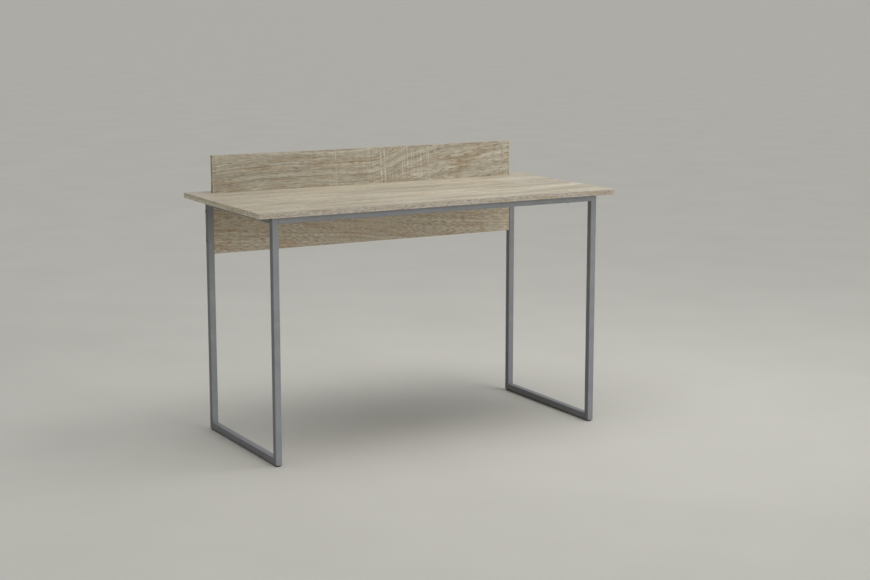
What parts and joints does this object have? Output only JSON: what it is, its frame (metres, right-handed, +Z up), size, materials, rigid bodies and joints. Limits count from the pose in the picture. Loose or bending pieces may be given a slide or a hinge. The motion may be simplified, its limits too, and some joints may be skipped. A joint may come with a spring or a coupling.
{
  "type": "writing desk",
  "caption": "Writing desk with a laminated tabletop on square-tube steel side frames, a low upstand at the back, a modesty panel below it and levelling feet.",
  "frame": {"origin": "on the floor, under the middle of the tabletop", "axes": "+X to the right of a person who sits at the desk, +Y away from them towards the upstand, +Z up"},
  "size_m": [1.2, 0.57, 0.855],
  "materials": {
    "grey_powder_coat": "fine matt powder coat",
    "oak_laminate": "pale oak melamine, fine pores",
    "oak_edge_band": "pale oak edging, satin",
    "bolt_grey_paint": "satin",
    "zinc_plated_steel": "zinc plated",
    "bracket_steel": "zinc plated",
    "black_polyamide": "moulded, matt",
    "beech": "bare fluted dowel",
    "foot_polyamide": "moulded, matt",
    "stud_steel": "zinc plated thread"
  },
  "bodies": {
    "desk": {"left_front_leg": "grey_powder_coat", "left_rear_leg": "grey_powder_coat", "left_top_rail": "grey_powder_coat", "left_bottom_rail": "grey_powder_coat", "right_front_leg": "grey_powder_coat", "right_rear_leg": "grey_powder_coat", "right_top_rail": "grey_powder_coat", "right_bottom_rail": "grey_powder_coat", "front_stretcher": "grey_powder_coat", "tabletop": "oak_laminate", "upstand": "oak_laminate", "modesty_panel": "oak_laminate", "tabletop_front_band": "oak_edge_band", "tabletop_rear_band": "oak_edge_band", "tabletop_left_band": "oak_edge_band", "tabletop_right_band": "oak_edge_band", "upstand_top_band": "oak_edge_band", "upstand_left_band": "oak_edge_band", "upstand_right_band": "oak_edge_band", "modesty_panel_band": "oak_edge_band", "stretcher_bolts": "bolt_grey_paint", "panel_bolts": "bolt_grey_paint", "tabletop_screws": "bolt_grey_paint", "barrel_nuts": "zinc_plated_steel", "euro_screws": "zinc_plated_steel", "bracket_screws": "zinc_plated_steel", "angle_brackets": "bracket_steel", "leg_inserts": "black_polyamide", "stretcher_inserts": "black_polyamide", "upstand_dowels": "beech"},
    "left_front_pad": {"left_front_foot_pad": "foot_polyamide"},
    "left_front_stud": {"left_front_foot_stud": "stud_steel"},
    "left_rear_pad": {"left_rear_foot_pad": "foot_polyamide"},
    "left_rear_stud": {"left_rear_foot_stud": "stud_steel"},
    "right_front_pad": {"right_front_foot_pad": "foot_polyamide"},
    "right_front_stud": {"right_front_foot_stud": "stud_steel"},
    "right_rear_pad": {"right_rear_foot_pad": "foot_polyamide"},
    "right_rear_stud": {"right_rear_foot_stud": "stud_steel"}
  },
  "joints": [
    {"name": "left_front_foot_travel", "type": "slide", "parent": "desk", "child": "left_front_pad", "axis": [0, 0, -1], "range_m": [0, 0.01]},
    {"name": "left_front_stud_turn", "type": "hinge", "parent": "left_front_pad", "child": "left_front_stud", "pos_m": [-0.54, -0.25, 0.01], "axis": [0, 0, -1], "range_deg": [0, 2880]},
    {"name": "left_rear_foot_travel", "type": "slide", "parent": "desk", "child": "left_rear_pad", "axis": [0, 0, -1], "range_m": [0, 0.01]},
    {"name": "left_rear_stud_turn", "type": "hinge", "parent": "left_rear_pad", "child": "left_rear_stud", "pos_m": [-0.54, 0.23, 0.01], "axis": [0, 0, -1], "range_deg": [0, 2880]},
    {"name": "right_front_foot_travel", "type": "slide", "parent": "desk", "child": "right_front_pad", "axis": [0, 0, -1], "range_m": [0, 0.01]},
    {"name": "right_front_stud_turn", "type": "hinge", "parent": "right_front_pad", "child": "right_front_stud", "pos_m": [0.54, -0.25, 0.01], "axis": [0, 0, -1], "range_deg": [0, 2880]},
    {"name": "right_rear_foot_travel", "type": "slide", "parent": "desk", "child": "right_rear_pad", "axis": [0, 0, -1], "range_m": [0, 0.01]},
    {"name": "right_rear_stud_turn", "type": "hinge", "parent": "right_rear_pad", "child": "right_rear_stud", "pos_m": [0.54, 0.23, 0.01], "axis": [0, 0, -1], "range_deg": [0, 2880]}
  ],
  "couplings": [
    {"joint": "left_front_foot_travel", "follows": "left_front_stud_turn", "m_per_rad": 0.00019894},
    {"joint": "left_rear_foot_travel", "follows": "left_rear_stud_turn", "m_per_rad": 0.00019894},
    {"joint": "right_front_foot_travel", "follows": "right_front_stud_turn", "m_per_rad": 0.00019894},
    {"joint": "right_rear_foot_travel", "follows": "right_rear_stud_turn", "m_per_rad": 0.00019894}
  ]
}
